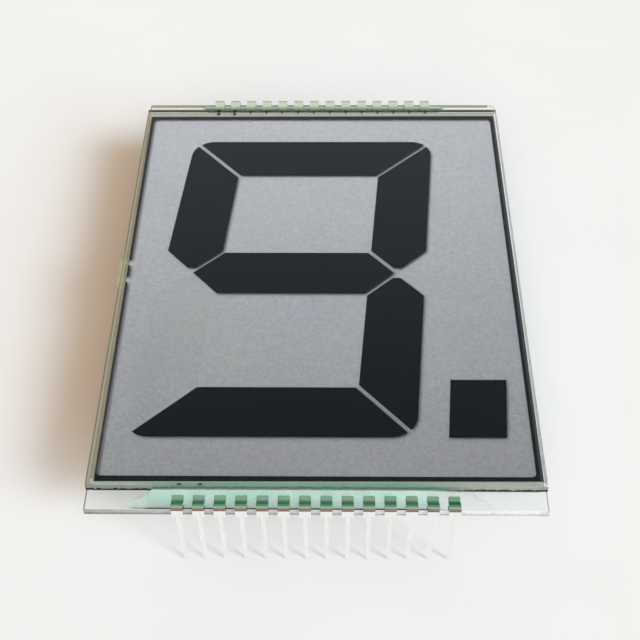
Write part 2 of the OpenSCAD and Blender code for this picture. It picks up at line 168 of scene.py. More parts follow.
def plate_glass(tree, bare_y, near_y, far_y, near_cut, shaded_left_cut, lit_right_cut, glued, foot, smeared):
    # Soda-lime float glass, scribed and snapped: clear faces and hackled edges that glow with the light behind them.
    # The near edge is green where glue stands against it; a dark line runs along its foot. Painted shade: the left
    # edge is darker and browner than the right one, and the near edge and its foot line darken towards the left end.
    # bare_y: beyond it the top is open to the air. near_y, far_y: the end edges. glued: from where to where
    # the near edge is green. smeared: from where to where resin fills the far gap beside the seal, and above
    # which height it lies there and in the left gap.
    place = add(tree, "ShaderNodeTexCoord").outputs["Object"]
    spot = add(tree, "ShaderNodeSeparateXYZ", {}, {0: place})
    side = add(tree, "ShaderNodeNewGeometry")
    axes = add(tree, "ShaderNodeSeparateXYZ", {}, {0: side.outputs["True Normal"]})
    level = add(tree, "ShaderNodeMath", {"operation": "ABSOLUTE"}, {0: axes.outputs["Z"]})
    rim = add(tree, "ShaderNodeMath", {"operation": "LESS_THAN"}, {0: level.outputs[0], 1: 0.9})
    ticks = add(tree, "ShaderNodeTexNoise", {}, {"Vector": place, "Scale": per_metre(0.35), "Detail": 5})
    body = add(tree, "ShaderNodeValToRGB", {"stops": [(0.3, "#fcfdfd"), (0.7, "#feffff")]}, {0: ticks.outputs[0]})
    clear = add(tree, "ShaderNodeBsdfRefraction", {}, {"Color": body.outputs[0], "Roughness": 0.0, "IOR": GLASS_IOR})
    gloss = add(tree, "ShaderNodeBsdfGlossy", {}, {"Roughness": 0.03})
    edge = add(tree, "ShaderNodeFresnel", {}, {"IOR": GLASS_IOR})
    out_y = add(tree, "ShaderNodeMath", {"operation": "ABSOLUTE"}, {0: spot.outputs["Y"]})
    bare = add(tree, "ShaderNodeMath", {"operation": "GREATER_THAN"}, {0: out_y.outputs[0], 1: bare_y})
    outer = add(tree, "ShaderNodeMath", {"operation": "SUBTRACT"}, {0: bare.outputs[0], 1: side.outputs["Backfacing"]})
    share = add(tree, "ShaderNodeMath", {"operation": "MULTIPLY", "use_clamp": True},
                {0: edge.outputs[0], 1: outer.outputs[0]})
    face = add(tree, "ShaderNodeMixShader", {}, {0: share.outputs[0], 1: clear.outputs[0], 2: gloss.outputs[0]})
    # painted shade: the left edge gets darker, browner colours than the right edge
    left = add(tree, "ShaderNodeValToRGB", {"stops": [(0.3, shaded_left_cut[0]), (0.7, shaded_left_cut[1])]}, {0: ticks.outputs[0]})
    right = add(tree, "ShaderNodeValToRGB", {"stops": [(0.3, lit_right_cut[0]), (0.7, lit_right_cut[1])]},
                {0: ticks.outputs[0]})
    is_right = add(tree, "ShaderNodeMath", {"operation": "GREATER_THAN"}, {0: spot.outputs["X"], 1: FRONT_HI.x - MM})
    painted_side_shade = add(tree, "ShaderNodeMix", {"data_type": "RGBA"},
                {0: is_right.outputs[0], 6: left.outputs[0], 7: right.outputs[0]})
    # yellow where the port's glue lies on the left edge
    from_port = add(tree, "ShaderNodeMath", {"operation": "SUBTRACT"}, {0: spot.outputs["Y"], 1: PORT_MID.y})
    off_port = add(tree, "ShaderNodeMath", {"operation": "ABSOLUTE"}, {0: from_port.outputs[0]})
    at_port = add(tree, "ShaderNodeMath", {"operation": "LESS_THAN"}, {0: off_port.outputs[0], 1: PORT_HALF.y})
    left_rim = add(tree, "ShaderNodeMath", {"operation": "LESS_THAN"}, {0: spot.outputs["X"], 1: FRONT_LO.x + 0.3 * MM})
    plugged = add(tree, "ShaderNodeMath", {"operation": "MULTIPLY"}, {0: at_port.outputs[0], 1: left_rim.outputs[0]})
    gummed = add(tree, "ShaderNodeMix", {"data_type": "RGBA"},
                 {0: plugged.outputs[0], 6: painted_side_shade.outputs[2], 7: linear("#a8a468")})
    # painted shade: the near edge darkens towards its left end
    cut = shade_along_edge(tree, spot.outputs["X"], ticks.outputs[0], *near_cut)
    green = add(tree, "ShaderNodeValToRGB", {"stops": [(0.3, "#648373"), (0.7, "#789988")]}, {0: ticks.outputs[0]})
    past_left = add(tree, "ShaderNodeMath", {"operation": "GREATER_THAN"}, {0: spot.outputs["X"], 1: glued[0]})
    past_right = add(tree, "ShaderNodeMapRange", {}, {0: spot.outputs["X"], 1: glued[1], 2: glued[1] - 5 * MM})
    wet = add(tree, "ShaderNodeMath", {"operation": "MULTIPLY"}, {0: past_left.outputs[0], 1: past_right.outputs[0]})
    near_face = add(tree, "ShaderNodeMix", {"data_type": "RGBA"},
                    {0: wet.outputs[0], 6: cut, 7: green.outputs[0]})
    # dark line with a ragged upper limit
    stretch = add(tree, "ShaderNodeMapping", {}, {"Vector": place, "Scale": (1, 0.02, 0.1)})
    ragged = add(tree, "ShaderNodeTexNoise", {}, {"Vector": stretch.outputs[0], "Scale": per_metre(0.6), "Detail": 3})
    limit = add(tree, "ShaderNodeMapRange", {},
                {0: ragged.outputs[0], 1: 0.3, 2: 0.7, 3: foot["top"][0], 4: foot["top"][1]})
    below = add(tree, "ShaderNodeMath", {"operation": "LESS_THAN"}, {0: spot.outputs["Z"], 1: limit.outputs[0]})
    above = add(tree, "ShaderNodeMath", {"operation": "GREATER_THAN"}, {0: spot.outputs["Z"], 1: foot["from"]})
    line = add(tree, "ShaderNodeMath", {"operation": "MULTIPLY"}, {0: below.outputs[0], 1: above.outputs[0]})
    dark = add(tree, "ShaderNodeMath", {"operation": "SUBTRACT", "use_clamp": True},
               {0: line.outputs[0], 1: wet.outputs[0]})
    # painted shade: the line along the foot darkens towards its left end
    foot_colour = shade_along_edge(tree, spot.outputs["X"], ticks.outputs[0], *foot["colours"])
    lined = add(tree, "ShaderNodeMix", {"data_type": "RGBA"},
                {0: dark.outputs[0], 6: near_face.outputs[2], 7: foot_colour})
    near = add(tree, "ShaderNodeMath", {"operation": "LESS_THAN"}, {0: spot.outputs["Y"], 1: near_y + EDGE_SLACK})
    skin = add(tree, "ShaderNodeMix", {"data_type": "RGBA"},
               {0: near.outputs[0], 6: gummed.outputs[2], 7: lined.outputs[2]})
    solid = add(tree, "ShaderNodeBsdfDiffuse", {}, {"Color": skin.outputs[2]})
    through = add(tree, "ShaderNodeBsdfTranslucent", {}, {"Color": skin.outputs[2]})
    glow = add(tree, "ShaderNodeMapRange", {}, {0: is_right.outputs[0], 3: 0.12, 4: 0.3})
    broken = add(tree, "ShaderNodeMixShader", {}, {0: glow.outputs[0], 1: solid.outputs[0], 2: through.outputs[0]})
    # the far edge mirrors when it is seen through the plate
    far = add(tree, "ShaderNodeMath", {"operation": "GREATER_THAN"}, {0: spot.outputs["Y"], 1: far_y - EDGE_SLACK})
    far_inside = add(tree, "ShaderNodeMath", {"operation": "MULTIPLY"},
                     {0: far.outputs[0], 1: side.outputs["Backfacing"]})
    mirror = add(tree, "ShaderNodeBsdfGlossy", {}, {"Color": linear("#b4b79c"), "Roughness": 0.05})
    edges = add(tree, "ShaderNodeMixShader", {}, {0: far_inside.outputs[0], 1: broken.outputs[0], 2: mirror.outputs[0]})
    # resin outside the seal
    past_seal = add(tree, "ShaderNodeMath", {"operation": "GREATER_THAN"}, {0: spot.outputs["Y"], 1: smeared[0]})
    in_gap = add(tree, "ShaderNodeMath", {"operation": "LESS_THAN"}, {0: spot.outputs["Y"], 1: smeared[1]})
    on_top = add(tree, "ShaderNodeMath", {"operation": "GREATER_THAN"}, {0: spot.outputs["Z"], 1: smeared[2]})
    far_gap = add(tree, "ShaderNodeMath", {"operation": "MULTIPLY"}, {0: past_seal.outputs[0], 1: in_gap.outputs[0]})
    beside = add(tree, "ShaderNodeMath", {"operation": "LESS_THAN"}, {0: spot.outputs["X"], 1: SEAL_LO.x})
    covered = add(tree, "ShaderNodeMath", {"operation": "LESS_THAN"}, {0: out_y.outputs[0], 1: FRONT_HI.y})
    left_gap = add(tree, "ShaderNodeMath", {"operation": "MULTIPLY"}, {0: beside.outputs[0], 1: covered.outputs[0]})
    gap = add(tree, "ShaderNodeMath", {"operation": "MAXIMUM"}, {0: far_gap.outputs[0], 1: left_gap.outputs[0]})
    smear = add(tree, "ShaderNodeMath", {"operation": "MULTIPLY"}, {0: gap.outputs[0], 1: on_top.outputs[0]})
    resin = add(tree, "ShaderNodeBsdfDiffuse", {}, {"Color": linear("#aaa699")})
    faces = add(tree, "ShaderNodeMixShader", {}, {0: smear.outputs[0], 1: face.outputs[0], 2: resin.outputs[0]})
    whole = add(tree, "ShaderNodeMixShader", {}, {0: rim.outputs[0], 1: faces.outputs[0], 2: edges.outputs[0]})
    return lets_light_past(tree, whole, linear("#fdfefe"))


def front_plate(tree):
    black_foot = {"from": 0.0, "top": (FRONT_LO.z + 0.2 * MM, FRONT_LO.z + 0.6 * MM),
                  "colours": ("#1d1f1f", "#3a3b38")}
    no_smear = (OUT_OF_REACH, -OUT_OF_REACH, OUT_OF_REACH)
    # edge colours with painted shade: near edge and foot darker to the left, left edge brown, right edge near white
    return plate_glass(tree, OUT_OF_REACH, FRONT_LO.y, FRONT_HI.y, ("#8f928e", "#abafa6"), ("#8f8264", "#a39677"),
                       ("#eae0d6", "#f6efe8"), GLUED, black_foot, no_smear)


def rear_plate(tree):
    low = REAR_LO.z + 0.15 * MM
    grey_line = {"from": low, "top": (low + 0.2 * MM, low + 0.4 * MM), "colours": ("#7f817e", "#c4c6c4")}
    no_glue = (OUT_OF_REACH, -OUT_OF_REACH)
    smear = (SEAL_HI.y, FRONT_HI.y, REAR_HI.z - 0.05 * MM)
    # edge colours with painted shade: near edge and its grey line darker to the left, left edge darker than the right
    return plate_glass(tree, FRONT_HI.y, REAR_LO.y, OUT_OF_REACH, ("#a6a8a6", "#eceeec"), ("#a0977f", "#b0a792"),
                       ("#eae0d6", "#f6efe8"), no_glue, grey_line, smear)


def clear_coating(tree):
    # Sputtered indium tin oxide: clear, barely warm, with faint thickness clouds a few millimetres wide.
    place = add(tree, "ShaderNodeTexCoord").outputs["Object"]
    cloud = add(tree, "ShaderNodeTexNoise", {}, {"Vector": place, "Scale": per_metre(6), "Detail": 2})
    tint = add(tree, "ShaderNodeValToRGB", {"stops": [(0.3, "#fefefd"), (0.7, "#fefefe")]}, {0: cloud.outputs[0]})
    return add(tree, "ShaderNodeBsdfTransparent", {}, {"Color": tint.outputs[0]})


def crystal_fluid(tree):
    # Liquid crystal fluid at rest: clear, with a slight bluish cloudiness.
    place = add(tree, "ShaderNodeTexCoord").outputs["Object"]
    cloud = add(tree, "ShaderNodeTexNoise", {}, {"Vector": place, "Scale": per_metre(9), "Detail": 3})
    tint = add(tree, "ShaderNodeValToRGB", {"stops": [(0.35, "#fdfdfe"), (0.65, "#fefefe")]}, {0: cloud.outputs[0]})
    clear = add(tree, "ShaderNodeBsdfRefraction", {}, {"Color": tint.outputs[0], "Roughness": 0.0, "IOR": 1.5})
    lamp = add(tree, "ShaderNodeLightPath").outputs["Is Shadow Ray"]
    let = add(tree, "ShaderNodeBsdfTransparent", {}, {"Color": tint.outputs[0]})
    axes = add(tree, "ShaderNodeSeparateXYZ", {}, {0: add(tree, "ShaderNodeNewGeometry").outputs["True Normal"]})
    level = add(tree, "ShaderNodeMath", {"operation": "ABSOLUTE"}, {0: axes.outputs["Z"]})
    wall = add(tree, "ShaderNodeMath", {"operation": "LESS_THAN"}, {0: level.outputs[0], 1: 0.5})
    straight = add(tree, "ShaderNodeMath", {"operation": "MAXIMUM"}, {0: wall.outputs[0], 1: lamp})
    return add(tree, "ShaderNodeMixShader", {}, {0: straight.outputs[0], 1: clear.outputs[0], 2: let.outputs[0]})


def driven_cell(tree):
    # Driven segment between crossed films: near black with a blue cast, evenly matt.
    place = add(tree, "ShaderNodeTexCoord").outputs["Object"]
    grain = add(tree, "ShaderNodeTexNoise", {}, {"Vector": place, "Scale": per_metre(0.3), "Detail": 3})
    ink = add(tree, "ShaderNodeValToRGB", {"stops": [(0.3, "#07090b"), (0.7, "#0c0f12")]}, {0: grain.outputs[0]})
    return add(tree, "ShaderNodeBsdfPrincipled", {},
               {"Base Color": ink.outputs[0], "Roughness": 0.8, "Specular IOR Level": 0.0})


def seal_epoxy(tree):
    # Printed epoxy seal: black between the two films, grey under one, a khaki see-through strip outside them.
    place = add(tree, "ShaderNodeTexCoord").outputs["Object"]
    grain = add(tree, "ShaderNodeTexNoise", {}, {"Vector": place, "Scale": per_metre(0.4), "Detail": 4})
    crossed = add(tree, "ShaderNodeValToRGB", {"stops": [(0.3, "#0c0d0e"), (0.7, "#141618")]}, {0: grain.outputs[0]})
    khaki = add(tree, "ShaderNodeValToRGB", {"stops": [(0.3, "#b9b19d"), (0.7, "#c8c1ae")]}, {0: grain.outputs[0]})
    cool = add(tree, "ShaderNodeValToRGB", {"stops": [(0.3, "#a8aea6"), (0.7, "#b6bcb3")]}, {0: grain.outputs[0]})
    spot = add(tree, "ShaderNodeSeparateXYZ", {}, {0: place})
    single = add(tree, "ShaderNodeMath", {"operation": "GREATER_THAN"},
                 {0: spot.outputs["X"], 1: BACK_FILM_HI.x - UNDER_FILM[0]})
    ink = add(tree, "ShaderNodeMix", {"data_type": "RGBA"},
              {0: single.outputs[0], 6: crossed.outputs[0], 7: linear("#3d3e3b")})
    near = add(tree, "ShaderNodeMath", {"operation": "LESS_THAN"}, {0: spot.outputs["Y"], 1: FILM_LO.y + MM})
    far = add(tree, "ShaderNodeMath", {"operation": "GREATER_THAN"}, {0: spot.outputs["Y"], 1: FILM_HI.y + 0.2 * MM})
    pale = add(tree, "ShaderNodeMix", {"data_type": "RGBA"},
               {0: far.outputs[0], 6: khaki.outputs[0], 7: linear("#d6d2c8")})
    from_left = add(tree, "ShaderNodeMapRange", {}, {0: spot.outputs["X"], 1: GLUED[0] - 3 * MM, 2: GLUED[0] + 2 * MM})
    from_right = add(tree, "ShaderNodeMapRange", {}, {0: spot.outputs["X"], 1: GLUED[1], 2: GLUED[1] - 8 * MM})
    by_glue = add(tree, "ShaderNodeMath", {"operation": "MULTIPLY"},
                  {0: from_left.outputs[0], 1: from_right.outputs[0]})
    minted = add(tree, "ShaderNodeMix", {"data_type": "RGBA"},
                 {0: by_glue.outputs[0], 6: cool.outputs[0], 7: linear("#8caa99")})
    resin = add(tree, "ShaderNodeMix", {"data_type": "RGBA"},
                {0: near.outputs[0], 6: pale.outputs[2], 7: minted.outputs[2]})
    middle = FILM_MID + Vector((0, UNDER_FILM[2], 0))
    half = FILM_HALF + Vector((UNDER_FILM[0], UNDER_FILM[1], 0))
    from_middle = add(tree, "ShaderNodeVectorMath", {"operation": "SUBTRACT"}, {0: place, 1: middle})
    askew = add(tree, "ShaderNodeVectorRotate", {"rotation_type": "Z_AXIS"},
                {"Vector": from_middle.outputs[0], "Angle": -FILM_TURN})
    away = add(tree, "ShaderNodeVectorMath", {"operation": "ABSOLUTE"}, {0: askew.outputs[0]})
    out = add(tree, "ShaderNodeSeparateXYZ", {}, {0: away.outputs[0]})
    past_x = add(tree, "ShaderNodeMath", {"operation": "GREATER_THAN"}, {0: out.outputs["X"], 1: half.x})
    past_y = add(tree, "ShaderNodeMath", {"operation": "GREATER_THAN"}, {0: out.outputs["Y"], 1: half.y})
    bare = add(tree, "ShaderNodeMath", {"operation": "MAXIMUM"}, {0: past_x.outputs[0], 1: past_y.outputs[0]})
    black = add(tree, "ShaderNodeBsdfPrincipled", {},
                {"Base Color": ink.outputs[2], "Roughness": 0.7, "Specular IOR Level": 0.1})
    matt = add(tree, "ShaderNodeBsdfDiffuse", {}, {"Color": resin.outputs[2]})
    clear = add(tree, "ShaderNodeBsdfTransparent", {}, {"Color": resin.outputs[2]})
    thin = add(tree, "ShaderNodeMapRange", {}, {0: near.outputs[0], 3: 0.6, 4: 0.2})
    strip = add(tree, "ShaderNodeMixShader", {}, {0: thin.outputs[0], 1: matt.outputs[0], 2: clear.outputs[0]})
    return add(tree, "ShaderNodeMixShader", {}, {0: bare.outputs[0], 1: black.outputs[0], 2: strip.outputs[0]})


def contact_track(tree):
    # Etched coating on the rear plate: all but clear, a faint brown line where it crosses the far seal.
    place = add(tree, "ShaderNodeTexCoord").outputs["Object"]
    grain = add(tree, "ShaderNodeTexNoise", {}, {"Vector": place, "Scale": per_metre(0.25), "Detail": 2})
    faint = add(tree, "ShaderNodeValToRGB", {"stops": [(0.3, "#fcfcfa"), (0.7, "#fefefd")]}, {0: grain.outputs[0]})
    brown = add(tree, "ShaderNodeValToRGB", {"stops": [(0.3, "#6f6450"), (0.7, "#7f7460")]}, {0: grain.outputs[0]})
    spot = add(tree, "ShaderNodeSeparateXYZ", {}, {0: place})
    far = add(tree, "ShaderNodeMath", {"operation": "GREATER_THAN"}, {0: spot.outputs["Y"], 1: FILM_HI.y + 0.4 * MM})
    tint = add(tree, "ShaderNodeMix", {"data_type": "RGBA"},
               {0: far.outputs[0], 6: faint.outputs[0], 7: brown.outputs[0]})
    return add(tree, "ShaderNodeBsdfTransparent", {}, {"Color": tint.outputs[2]})


def silver_paste(tree):
    # Silver-filled transfer paste: dark grey with pale flakes.
    place = add(tree, "ShaderNodeTexCoord").outputs["Object"]
    flake = add(tree, "ShaderNodeTexVoronoi", {}, {"Vector": place, "Scale": per_metre(0.12)})
    tint = add(tree, "ShaderNodeValToRGB", {"stops": [(0.1, "#5c5d58"), (0.6, "#2b2c2a")]}, {0: flake.outputs[0]})
    return add(tree, "ShaderNodeBsdfPrincipled", {}, {"Base Color": tint.outputs[0], "Roughness": 0.5})


def grey_reflector_film(tree):
    # Rear polarizer laminated to a brushed reflector: even grey with a fine pearly grain.
    place = add(tree, "ShaderNodeTexCoord").outputs["Object"]
    grain = add(tree, "ShaderNodeTexNoise", {}, {"Vector": place, "Scale": per_metre(0.16), "Detail": 3})
    tint = add(tree, "ShaderNodeValToRGB", {"stops": [(0.25, "#b0acb1"), (0.75, "#c8c4ca")]}, {0: grain.outputs[0]})
    bump = add(tree, "ShaderNodeBump", {}, {"Strength": 0.1, "Distance": 0.02 * MM, "Height": grain.outputs[0]})
    return add(tree, "ShaderNodeBsdfPrincipled", {},
               {"Base Color": tint.outputs[0], "Roughness": 0.7, "Specular IOR Level": 0.0, "Normal": bump.outputs[0]})


def reflector_foil(tree):
    # Aluminised backing foil, rolled: matt silver with long fine rolling lines and faint dents.
    place = add(tree, "ShaderNodeTexCoord").outputs["Object"]
    rolled = add(tree, "ShaderNodeMapping", {}, {"Vector": place, "Scale": (1, 0.03, 1)})
    lines = add(tree, "ShaderNodeTexNoise", {}, {"Vector": rolled.outputs[0], "Scale": per_metre(0.3), "Detail": 5})
    tint = add(tree, "ShaderNodeValToRGB", {"stops": [(0.3, "#b9bcbe"), (0.7, "#cfd1d2")]}, {0: lines.outputs[0]})
    bump = add(tree, "ShaderNodeBump", {}, {"Strength": 0.3, "Distance": 0.03 * MM, "Height": lines.outputs[0]})
    return add(tree, "ShaderNodeBsdfPrincipled", {},
               {"Base Color": tint.outputs[0], "Metallic": 0.9, "Roughness": 0.4, "Normal": bump.outputs[0]})


def mint_glue(tree):
    # UV-cured acrylic glue with a mint dye: glossy, green where it is deep and clear where it thins out.
    place = add(tree, "ShaderNodeTexCoord").outputs["Object"]
    cloud = add(tree, "ShaderNodeTexNoise", {}, {"Vector": place, "Scale": per_metre(2.2), "Detail": 4})
    deep = add(tree, "ShaderNodeValToRGB", {"stops": [(0.3, "#e2f5ee"), (0.7, "#eefaf5")]}, {0: cloud.outputs[0]})
    milk = add(tree, "ShaderNodeValToRGB", {"stops": [(0.3, "#d8f3ea"), (0.7, "#e8faf4")]}, {0: cloud.outputs[0]})
    depth = add(tree, "ShaderNodeAttribute", {"attribute_name": "depth"}).outputs["Fac"]
    dye = add(tree, "ShaderNodeMix", {"data_type": "RGBA"}, {0: depth, 6: linear("#fdfefe"), 7: deep.outputs[0]})
    bent = add(tree, "ShaderNodeBsdfRefraction", {}, {"Color": dye.outputs[2], "Roughness": 0.03, "IOR": 1.3})
    plain = add(tree, "ShaderNodeBsdfTransparent", {}, {"Color": dye.outputs[2]})
    clear = add(tree, "ShaderNodeMixShader", {}, {0: depth, 1: plain.outputs[0], 2: bent.outputs[0]})
    solid = add(tree, "ShaderNodeBsdfDiffuse", {}, {"Color": milk.outputs[0]})
    cloudy = add(tree, "ShaderNodeMath", {"operation": "MULTIPLY"}, {0: depth, 1: 0.12})
    body = add(tree, "ShaderNodeMixShader", {}, {0: cloudy.outputs[0], 1: clear.outputs[0], 2: solid.outputs[0]})
    gloss = add(tree, "ShaderNodeBsdfGlossy", {}, {"Roughness": 0.08})
    edge = add(tree, "ShaderNodeFresnel", {}, {"IOR": 1.47})
    inside = add(tree, "ShaderNodeNewGeometry").outputs["Backfacing"]
    share = add(tree, "ShaderNodeMath", {"operation": "SUBTRACT", "use_clamp": True}, {0: edge.outputs[0], 1: inside})
    whole = add(tree, "ShaderNodeMixShader", {}, {0: share.outputs[0], 1: body.outputs[0], 2: gloss.outputs[0]})
    return lets_light_past(tree, whole, dye.outputs[2])


def plug_glue(tree):
    # Fill port glue, yellowed: cloudy yellow-green with a soft gloss.
    place = add(tree, "ShaderNodeTexCoord").outputs["Object"]
    cloud = add(tree, "ShaderNodeTexNoise", {}, {"Vector": place, "Scale": per_metre(1.1), "Detail": 4})
    tint = add(tree, "ShaderNodeValToRGB", {"stops": [(0.3, "#b8b487"), (0.7, "#d2cfa6")]}, {0: cloud.outputs[0]})
    bump = add(tree, "ShaderNodeBump", {}, {"Strength": 0.2, "Distance": 0.05 * MM, "Height": cloud.outputs[0]})
    return add(tree, "ShaderNodeBsdfPrincipled", {}, {"Base Color": tint.outputs[0], "Roughness": 0.3,
                                                      "Subsurface Weight": 0.3, "Subsurface Scale": 0.5 * MM,
                                                      "Normal": bump.outputs[0]})


def tinned_strip(tree):
    # Stamped phosphor bronze, bright tin plated: white metal, faintly streaked along the strip, green under the glue,
    # and brown at the bend: partly bronze showing through the stretched tin, partly a painted reflection of the room's
    # brown lower wall.
    place = add(tree, "ShaderNodeTexCoord").outputs["Object"]
    drawn = add(tree, "ShaderNodeMapping", {}, {"Vector": place, "Scale": (1, 1, 0.12)})
    streak = add(tree, "ShaderNodeTexNoise", {}, {"Vector": drawn.outputs[0], "Scale": per_metre(0.18), "Detail": 4})
    tint = add(tree, "ShaderNodeValToRGB", {"stops": [(0.3, "#f2f2f0"), (0.7, "#fbfbfa")]}, {0: streak.outputs[0]})
    spot = add(tree, "ShaderNodeSeparateXYZ", {}, {0: place})
    out_y = add(tree, "ShaderNodeMath", {"operation": "ABSOLUTE"}, {0: spot.outputs["Y"]})
    inward = add(tree, "ShaderNodeMapRange", {},
                 {0: out_y.outputs[0], 1: REAR_HI.y + 0.27 * MM, 2: REAR_HI.y - 0.05 * MM})
    over = add(tree, "ShaderNodeMath", {"operation": "GREATER_THAN"}, {0: spot.outputs["Z"], 1: REAR_HI.z})
    glued = add(tree, "ShaderNodeMath", {"operation": "MULTIPLY"}, {0: inward.outputs[0], 1: over.outputs[0]})
    far = add(tree, "ShaderNodeMath", {"operation": "GREATER_THAN"}, {0: spot.outputs["Y"], 1: 0.0})
    dyed = add(tree, "ShaderNodeMix", {"data_type": "RGBA"},
               {0: far.outputs[0], 6: linear("#74ad8e"), 7: linear("#eef4e8")})
    metal = add(tree, "ShaderNodeMix", {"data_type": "RGBA"},
                {0: glued.outputs[0], 6: tint.outputs[0], 7: dyed.outputs[2]})
    # painted reflection: the brown band at the bend also stands in for the bend mirroring the room's brown wall
    at_bend = add(tree, "ShaderNodeMath", {"operation": "COMPARE"},
                  {0: spot.outputs["Z"], 1: REAR_HI.z + 0.42 * MM, 2: 0.12 * MM})
    outside = add(tree, "ShaderNodeMath", {"operation": "GREATER_THAN"}, {0: out_y.outputs[0], 1: REAR_HI.y + 0.2 * MM})
    bend_wear_and_painted_reflection = add(tree, "ShaderNodeMath", {"operation": "MULTIPLY"}, {0: at_bend.outputs[0], 1: outside.outputs[0]})
    shown = add(tree, "ShaderNodeMix", {"data_type": "RGBA"},
                {0: bend_wear_and_painted_reflection.outputs[0], 6: metal.outputs[2], 7: linear("#8d7868")})
    fine = add(tree, "ShaderNodeMapRange", {}, {0: streak.outputs[0], 3: 0.12, 4: 0.22})
    rough = add(tree, "ShaderNodeMath", {"operation": "MULTIPLY_ADD"}, {0: far.outputs[0], 1: 0.18, 2: fine.outputs[0]})
    return add(tree, "ShaderNodeBsdfPrincipled", {},
               {"Base Color": shown.outputs[2], "Metallic": 1.0, "Roughness": rough.outputs[0]})


def pale_floor(tree):
    # Matt laminate table top: plain near white. Metal mirrors it as white, without the object's shade.
    place = add(tree, "ShaderNodeTexCoord").outputs["Object"]
    cloud = add(tree, "ShaderNodeTexNoise", {}, {"Vector": place, "Scale": per_metre(25), "Detail": 3})
    tint = add(tree, "ShaderNodeValToRGB", {"stops": [(0.3, "#f5f3f1"), (0.7, "#f7f6f4")]}, {0: cloud.outputs[0]})
    matt = add(tree, "ShaderNodeBsdfDiffuse", {}, {"Color": tint.outputs[0]})
    white = add(tree, "ShaderNodeEmission", {}, {"Color": tint.outputs[0], "Strength": 1.0})
    ray = add(tree, "ShaderNodeLightPath").outputs
    mirrored = add(tree, "ShaderNodeMath", {"operation": "SUBTRACT", "use_clamp": True},
                   {0: ray["Is Glossy Ray"], 1: ray["Is Transmission Ray"]})
    return add(tree, "ShaderNodeMixShader", {}, {0: mirrored.outputs[0], 1: matt.outputs[0], 2: white.outputs[0]})


FILM = finish_material("polarizer_film", polarizer_sheet)
FRONT_GLASS = finish_material("float_glass_front_plate", front_plate)
REAR_GLASS = finish_material("float_glass_rear_plate", rear_plate)
COATING = finish_material("indium_tin_oxide", clear_coating)
FLUID = finish_material("liquid_crystal_fluid", crystal_fluid)
DRIVEN = finish_material("driven_crystal", driven_cell)
SEAL = finish_material("printed_epoxy_seal", seal_epoxy)
TRACK = finish_material("etched_coating_track", contact_track)
PASTE = finish_material("silver_paste", silver_paste)
REAR_FILM = finish_material("grey_rear_polarizer", grey_reflector_film)
FOIL = finish_material("aluminised_foil", reflector_foil)
GLUE = finish_material("mint_acrylic_glue", mint_glue)
PLUG = finish_material("yellowed_port_glue", plug_glue)
TIN = finish_material("tinned_phosphor_bronze", tinned_strip)
FLOOR = finish_material("matt_table_top", pale_floor)
# its white is for mirrors only and lights nothing
FLOOR.cycles.emission_sampling = "NONE"

NODE_FINISH = {"front_polarizer": FILM, "liquid_crystal": FLUID, "perimeter_seal": SEAL, "decimal_point": DRIVEN,
               "front_tracks": TRACK, "rear_tracks": TRACK, "rear_polarizer": REAR_FILM, "reflector": FOIL}
NODE_FINISH.update({"segment_" + s: DRIVEN for s in "abcdfg"})
NODE_FINISH.update({"transfer_dot_%d" % i: PASTE for i in range(1, 5)})
for name, finish in NODE_FINISH.items():
    nodes[name].data.materials.clear()
    nodes[name].data.materials.append(finish)


# Pieces

def piece(name, shape, finish, slot, *replaced):
    """A finished piece from a bmesh, kept inside the solids' box, in place of the named solids."""
    for v in shape.verts:
        v.co = [min(max(c, lo), hi) for c, lo, hi in zip(v.co, *cad_box)]
    bmesh.ops.recalc_face_normals(shape, faces=shape.faces)
    mesh = bpy.data.meshes.new(name)
    shape.to_mesh(mesh)
    shape.free()
    mesh.materials.append(finish)
    made = bpy.data.objects.new(name, mesh)
    bpy.context.scene.collection.objects.link(made)
    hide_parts(*replaced)
    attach(made, "root")
    return made


def snapped_plate(lo, hi, seed, chips):
    """A glass plate with scribed and snapped edges: fine ragged chamfers, and a few larger chips.

    A chip is its x, y, size and reach in mm.
    """
    gap = 0.008 * MM
    step = 0.45 * MM
    # the chamfers in mm: plain width, growth where they are ragged, fine hackle
    top_width, top_ragged, top_hackle = 0.035, 0.05, 0.015
    foot_width, foot_ragged, foot_hackle = 0.03, 0.04, 0.012
    lo = Vector(lo) + Vector((gap, gap, gap))
    hi = Vector(hi) - Vector((gap, gap, gap))
    corners = [(lo.x, lo.y), (hi.x, lo.y), (hi.x, hi.y), (lo.x, hi.y)]
    rim = []
    for i, (x, y) in enumerate(corners):
        to = corners[(i + 1) % 4]
        length = math.hypot(to[0] - x, to[1] - y)
        count = round(length / step)
        along = Vector(((to[0] - x) / length, (to[1] - y) / length))
        for k in range(count):
            here = Vector((x, y)) + along * (length * k / count)
            inward = Vector((-along.y, along.x))
            rim.append((here, inward + along if k == 0 else inward))
    shape = bmesh.new()
    rings = [[], [], [], []]
    for here, inward in rim:
        rough = noise.noise(Vector((here.x / MM * 1.3, here.y / MM * 1.3, seed)))
        fine = noise.noise(Vector((here.x / MM * 4.1, here.y / MM * 4.1, seed + 7)))
        top = (top_width + top_ragged * max(0, rough) ** 2 + top_hackle * fine) * MM
        foot = (foot_width + foot_ragged * max(0, -rough) ** 2 - foot_hackle * fine) * MM
        for x, y, size, reach in chips:
            away = math.hypot(here.x / MM - x, here.y / MM - y)
            top += size * MM * math.exp(-(away / reach) ** 2)
        for ring, inset, z in ((0, top, hi.z), (1, 0, hi.z - top), (2, 0, lo.z + foot), (3, foot, lo.z)):
            at = here + inward * inset
            rings[ring].append(shape.verts.new((at.x, at.y, z)))
    total = len(rim)
    for a, b in ((0, 1), (1, 2), (2, 3)):
        for i in range(total):
            j = (i + 1) % total
            shape.faces.new((rings[a][i], rings[a][j], rings[b][j], rings[b][i]))
    shape.faces.new(rings[0])
    shape.faces.new(rings[3])
    return shape


def smooth(low, high, x):
    t = min(1, max(0, (x - low) / (high - low)))
    return t * t * (3 - 2 * t)


